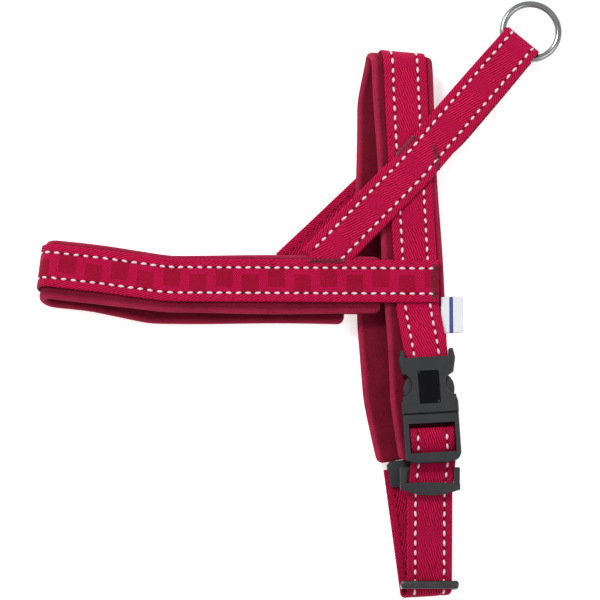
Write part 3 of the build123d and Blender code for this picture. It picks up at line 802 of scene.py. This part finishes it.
softened("buckle_female", "buckle_female_moulded", PLASTIC, "harness")
softened("buckle_male", "buckle_male_moulded", PLASTIC, "male_half")
softened("prong_left", "prong_left_moulded", PLASTIC, "left_prong", 0.5 * MM)
softened("prong_right", "prong_right_moulded", PLASTIC, "right_prong", 0.5 * MM)
softened("keeper_loop", "keeper_loop_moulded", PLASTIC, "keeper", 0.6 * MM,
         shape=lift_keeper)
softened("far_hook", "far_hook_moulded", PLASTIC, "harness", 0.5 * MM)
softened("strap_slider", "strap_slider_bar", NICKEL, "slider", 0.2 * MM,
         shape=flatten_front)

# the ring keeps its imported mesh, which is round enough, and only gets its steel
ring_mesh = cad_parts["o_ring"].data
ring_mesh.materials.clear()
ring_mesh.materials.append(STEEL)

INSET_HALF_ACROSS = 5.9 * MM
INSET_HALF_ALONG = 9.2 * MM
INSET_CORNER_R = 1.8 * MM
INSET_LEAST_R = 0.35 * MM        # keeps the inner rings' corners open
# (how far in from the outline, height above the CAD inset's top), in mm
INSET_PROFILE = ((0.0, -0.45), (0.0, -0.02), (0.12, 0.07), (0.3, 0.10), (0.55, 0.10),
                 (0.75, 0.05), (0.9, -0.05), (1.3, -0.10), (2.2, -0.12), (3.4, -0.13),
                 (4.6, -0.14), (5.4, -0.14))


def make_inset():
    """Glossy plate in the buckle's top: rounded corners, a raised rim and a shallow dish."""
    low, high = (np.array(c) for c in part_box("buckle_label"))
    middle = (low + high) / 2
    verts = []
    around = 44
    for inset, height in INSET_PROFILE:
        r = max(INSET_CORNER_R - inset * MM, INSET_LEAST_R)
        for k in range(around):
            a = 2 * math.pi * (k + 0.5) / around
            x = math.copysign(INSET_HALF_ACROSS - inset * MM - r, math.cos(a)) + r * math.cos(a)
            y = math.copysign(INSET_HALF_ALONG - inset * MM - r, math.sin(a)) + r * math.sin(a)
            side = -across_dir * x - down_dir * y
            verts.append(middle + side + np.array([0, 0, high[2] - middle[2] + height * MM]))
    faces = tube_faces(len(INSET_PROFILE), around)
    piece = new_object("buckle_inset_gloss", verts, faces)
    dress(piece, INSET, "harness", ("buckle_label",))


make_inset()


# ---- bar tacks: dense zigzags of thread -------------------------------------------------
def islands(node):
    """Separate pieces of a node's mesh, as lists of points."""
    mesh = bmesh.new()
    mesh.from_mesh(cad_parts[node].data)
    bmesh.ops.remove_doubles(mesh, verts=mesh.verts, dist=WELD)
    left = set(mesh.verts)
    found = []
    while left:
        seed = min(left, key=lambda v: tuple(v.co))
        group = {seed}
        todo = [seed]
        while todo:
            for edge in todo.pop().link_edges:
                for vert in edge.verts:
                    if vert not in group:
                        group.add(vert)
                        todo.append(vert)
        left -= group
        found.append(np.array(sorted(tuple(v.co) for v in group)))
    mesh.free()
    return sorted(found, key=lambda p: tuple(p.mean(0)))


def tube(points, radius, around=6):
    """Vertices and faces of a round tube along points."""
    points = np.array(points)
    run = np.gradient(points, axis=0)
    verts = []
    for place, along in zip(points, run):
        along = along / np.linalg.norm(along)
        side = np.cross(along, [0, 0, 1.0])
        side /= np.linalg.norm(side)
        up = np.cross(side, along)
        for k in range(around):
            a = 2 * math.pi * k / around
            verts.append(place + side * (radius * math.cos(a)) + up * (radius * math.sin(a)))
    return verts, tube_faces(len(points), around)


TACK_R = 0.30 * MM
TACK_PITCH = 0.55 * MM           # between one pass of the thread and the next


def make_tacks():
    """Two layers of zigzag thread along each of the CAD tacks."""
    verts = []
    faces = []
    for points in islands("bar_tacks"):
        middle = points.mean(0)
        flat = points - middle
        flat[:, 2] = 0
        along = np.linalg.svd(flat)[2][0]
        side = np.cross([0, 0, 1.0], along)
        length = np.ptp(flat @ along)
        width = np.ptp(flat @ side) * 1.05
        for layer, offset in ((0, 0.0), (1, 0.4)):
            count = int(length / TACK_PITCH)
            line = []
            for i in range(count):
                t = (i + offset) / count - 0.5
                sway = (0.5 if i % 2 else -0.5) * width * random.uniform(0.88, 1.0)
                lift = (-0.08 + 0.12 * layer) * MM
                line.append(middle + along * (t * length) + side * sway + np.array([0, 0, lift]))
            some, joins = tube(line, TACK_R)
            base = len(verts)
            verts += some
            faces += [tuple(base + k for k in face) for face in joins]
    piece = new_object("bar_tacks_zigzag", verts, faces)
    dress(piece, TACK, "harness", ("bar_tacks",))


make_tacks()


# ---- side tag: a folded woven label with one plain stripe ---------------------------------
def tag_material():
    """Plain white ribbon with one blue stripe."""
    n = Nodes("woven_tag")
    u, v = n.weave()
    weft = n.maths("MULTIPLY", stripes(n, u, v, 1.0, 0.0, 0.42), stripes(n, u, v, 0.0, 1.0, 0.55))
    stripe = n.maths("LESS_THAN", n.maths("ABSOLUTE", n.maths("SUBTRACT", v, 5.6)), 1.05)
    white = n.mix(weft, (0.62, 0.64, 0.68), (0.86, 0.87, 0.89))
    blue = n.mix(weft, (0.035, 0.055, 0.20), (0.085, 0.12, 0.34))
    n.link(n.mix(stripe, white, blue), n.shader.inputs["Base Color"])
    n.set(Roughness=0.7, Specular_IOR_Level=0.25)
    n.bump(weft, 0.12 * MM, 0.8)
    return n.material


def make_tag():
    """Ribbon folded at its tip: two plies that part a little and curl up towards the fold."""
    low, high = (np.array(c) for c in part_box("side_tag"))
    reach = high[0] - low[0]
    ply = 0.30 * MM
    outer = [(t * reach * 0.965, 0.80 * MM + 0.9 * MM * t ** 2) for t in np.linspace(0, 1, 14)]
    tip = [(reach * (0.965 + 0.035 * math.sin(a)), (1.30 + 0.40 * math.cos(a)) * MM)
           for a in np.linspace(0.3, math.pi - 0.3, 6)]
    back = [(t * reach * 0.965, 0.02 * MM + 0.9 * MM * t ** 2) for t in np.linspace(1, 0, 14)]
    line = np.array(outer + tip + back)
    run = np.gradient(line, axis=0)
    run /= np.linalg.norm(run, axis=1)[:, None]
    inner = line + np.stack([run[:, 1], -run[:, 0]], 1) * ply
    section = np.concatenate([line, inner[::-1]])
    count = 26
    verts = []
    weave = []
    for i, y in enumerate(np.linspace(low[1], high[1], count)):
        droop = 0.25 * MM * math.sin(i / (count - 1) * math.pi)
        for x, z in section:
            share = x / reach
            verts.append((low[0] + x, y + 0.5 * MM * share, low[2] + z - droop * share))
            weave.append(((y - low[1]) / MM, x / MM))
    ring = len(section)
    faces = []
    for i in range(count - 1):
        for j in range(ring):
            k = (j + 1) % ring
            faces.append((i * ring + j, (i + 1) * ring + j, (i + 1) * ring + k, i * ring + k))
    for base, flip in ((0, False), ((count - 1) * ring, True)):
        half = ring // 2
        for j in range(half - 1):
            face = (base + j, base + j + 1, base + ring - 2 - j, base + ring - 1 - j)
            faces.append(face[::-1] if flip else face)
    piece = new_object("side_tag_woven", verts, faces, weave)
    dress(piece, tag_material(), "harness", ("side_tag",))


make_tag()


# ---- camera, floor and lights -----------------------------------------------------------
scene = bpy.context.scene
VIEW_SIDE = -0.05                # the camera stands this far to the left and below straight up
VIEW_DOWN = -0.15
VIEW_ROLL = -0.0029
DISTANCE = 2.5
FRAME_W = 0.33189                # what the picture spans at the target
TARGET = Vector((-0.00046, -0.00501, 0.020))
FLOOR_Z = -0.55 * MM


def place_camera():
    """Camera almost straight above, a long way off, as the photo was taken."""
    back = Vector((VIEW_SIDE, VIEW_DOWN, math.sqrt(1 - VIEW_SIDE ** 2 - VIEW_DOWN ** 2)))
    up = (Vector((0, 1, 0)) - back * back.y).normalized()
    right = up.cross(back)
    c, q = math.cos(VIEW_ROLL), math.sin(VIEW_ROLL)
    right, up = right * c + up * q, up * c - right * q
    data = bpy.data.cameras.new("camera")
    camera = bpy.data.objects.new("camera", data)
    data.sensor_width = 36.0
    data.lens = 36.0 * DISTANCE / FRAME_W
    turn = Matrix((right, up, back)).transposed().to_4x4()
    camera.matrix_world = Matrix.Translation(TARGET + back * DISTANCE) @ turn
    scene.collection.objects.link(camera)
    scene.camera = camera


def place_light(name, place, size, power):
    """Round soft light that points at the object."""
    data = bpy.data.lights.new(name, "AREA")
    data.shape = "DISK"
    data.size = size
    data.energy = power
    light = bpy.data.objects.new(name, data)
    light.location = place
    light.rotation_euler = (-Vector(place)).to_track_quat("-Z", "Y").to_euler()
    scene.collection.objects.link(light)


def place_floor():
    """Floor just under the lowest stitches."""
    mesh = bpy.data.meshes.new("floor")
    half = 3.0
    mesh.from_pydata([(-half, -half, 0), (half, -half, 0), (half, half, 0), (-half, half, 0)],
                     [], [(0, 1, 2, 3)])
    floor = bpy.data.objects.new("floor", mesh)
    floor.location.z = FLOOR_Z
    mesh.materials.append(floor_material())
    scene.collection.objects.link(floor)


place_camera()
place_floor()
place_light("key", (-0.55, 0.75, 1.1), 0.45, 15.0)
place_light("fill", (0.9, -0.4, 1.2), 0.9, 4.5)
world = bpy.data.worlds.new("studio")
scene.world = world
world.use_nodes = True
world.node_tree.nodes["Background"].inputs["Color"].default_value = (1, 1, 1, 1)
world.node_tree.nodes["Background"].inputs["Strength"].default_value = 0.62
scene.view_settings.view_transform = "Standard"
